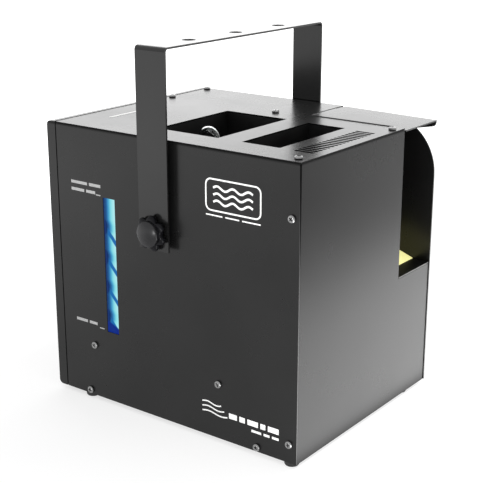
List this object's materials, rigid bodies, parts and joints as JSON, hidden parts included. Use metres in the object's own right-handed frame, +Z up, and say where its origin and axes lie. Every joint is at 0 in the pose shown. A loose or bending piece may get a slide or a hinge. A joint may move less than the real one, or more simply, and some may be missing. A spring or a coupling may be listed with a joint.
{
  "type": "haze machine",
  "caption": "Boxy black haze machine with a hanging yoke and star knobs, a hinged hood over its corner outlet, top wells, a lit fluid level window and a rear control panel.",
  "frame": {"origin": "centre of the underside's bounding rectangle, on the surface that the feet stand on", "axes": "+X towards the outlet in the front panel, +Y towards the side without the level window, +Z up"},
  "size_m": [0.3277, 0.297, 0.397],
  "materials": {
    "powder_coat": "satin black powder coat",
    "inner_sheet": "flat black",
    "galvanised": "dull galvanised sheet",
    "nickel": "bright nickel plate",
    "brass": "turned brass",
    "aluminium": "cast aluminium",
    "black_plastic": "moulded black plastic",
    "rubber": "black rubber",
    "yellow_label": "blank yellow film",
    "tank_plastic": "translucent blow-moulded plastic",
    "clear_hose": "clear soft tubing",
    "lit_blue": "tinted clear plastic lit from behind",
    "board_green": "circuit board",
    "button_grey": "matte grey plastic",
    "switch_red": "glossy red plastic"
  },
  "bodies": {
    "case": {"base_pan": "powder_coat", "side_panel_near": "powder_coat", "side_panel_far": "powder_coat", "front_panel": "powder_coat", "rear_panel": "powder_coat", "top_panel": "powder_coat", "filling_well": "inner_sheet", "intake_well": "inner_sheet", "outlet_channel": "inner_sheet", "channel_floor": "inner_sheet", "caution_label": "yellow_label", "hood_hinge_leaf": "nickel", "hood_hinge_pin": "nickel", "side_screw_1": "nickel", "side_screw_2": "nickel", "side_screw_3": "nickel", "side_screw_4": "nickel", "side_screw_5": "nickel", "side_screw_6": "nickel", "top_screw_1": "nickel", "top_screw_2": "nickel", "top_screw_3": "nickel", "top_screw_4": "nickel", "top_screw_5": "nickel", "fan_frame": "black_plastic", "display": "black_plastic", "power_switch_frame": "black_plastic", "power_inlet": "black_plastic", "dmx_in": "black_plastic", "dmx_out": "black_plastic", "pivot_spacer_near": "rubber", "pivot_spacer_far": "rubber", "foot_rear_near": "rubber", "foot_rear_far": "rubber", "foot_front_near": "rubber", "foot_front_far": "rubber", "level_window": "lit_blue", "level_light": "board_green", "control_board": "board_green", "fluid_tank": "tank_plastic", "pickup_hose": "clear_hose", "pump_hose": "clear_hose", "fluid_pump": "galvanised", "power_supply": "galvanised", "heater_block": "aluminium", "haze_nozzle": "brass"},
    "yoke": {"yoke": "powder_coat"},
    "knob_near": {"knob_near": "black_plastic"},
    "knob_far": {"knob_far": "black_plastic"},
    "hood": {"hood": "powder_coat"},
    "fan_rotor": {"fan_rotor": "black_plastic"},
    "tank_cap": {"tank_cap": "black_plastic"},
    "power_rocker": {"power_rocker": "switch_red"},
    "button_menu": {"button_menu": "button_grey"},
    "button_up": {"button_up": "button_grey"},
    "button_down": {"button_down": "button_grey"},
    "button_enter": {"button_enter": "button_grey"}
  },
  "joints": [
    {"name": "yoke_tilt", "type": "hinge", "parent": "case", "child": "yoke", "pos_m": [-0.00675, 0, 0.2129], "axis": [0, 1, 0], "range_deg": [-48, 48]},
    {"name": "knob_near_turn", "type": "hinge", "parent": "case", "child": "knob_near", "pos_m": [-0.00675, -0.1358, 0.2129], "axis": [0, 1, 0], "continuous": true},
    {"name": "knob_far_turn", "type": "hinge", "parent": "case", "child": "knob_far", "pos_m": [-0.00675, 0.1358, 0.2129], "axis": [0, 1, 0], "continuous": true},
    {"name": "hood_lift", "type": "hinge", "parent": "case", "child": "hood", "pos_m": [0.04765, 0.093, 0.3051], "axis": [0, -1, 0], "range_deg": [0, 80]},
    {"name": "fan_spin", "type": "hinge", "parent": "case", "child": "fan_rotor", "pos_m": [0.03265, 0.093, 0.2485], "axis": [1, 0, 0], "continuous": true},
    {"name": "tank_cap_turn", "type": "hinge", "parent": "case", "child": "tank_cap", "pos_m": [0.01265, -0.005, 0.2575], "axis": [0, 0, 1], "continuous": true},
    {"name": "power_rocker_tilt", "type": "hinge", "parent": "case", "child": "power_rocker", "pos_m": [-0.15765, 0.078, 0.1035], "axis": [0, -1, 0], "range_deg": [0, 16]},
    {"name": "button_menu_press", "type": "slide", "parent": "case", "child": "button_menu", "axis": [1, 0, 0], "range_m": [0, 0.0012], "stiffness_N_per_m": 500, "springref_m": -0.0004},
    {"name": "button_up_press", "type": "slide", "parent": "case", "child": "button_up", "axis": [1, 0, 0], "range_m": [0, 0.0012], "stiffness_N_per_m": 500, "springref_m": -0.0004},
    {"name": "button_down_press", "type": "slide", "parent": "case", "child": "button_down", "axis": [1, 0, 0], "range_m": [0, 0.0012], "stiffness_N_per_m": 500, "springref_m": -0.0004},
    {"name": "button_enter_press", "type": "slide", "parent": "case", "child": "button_enter", "axis": [1, 0, 0], "range_m": [0, 0.0012], "stiffness_N_per_m": 500, "springref_m": -0.0004}
  ]
}
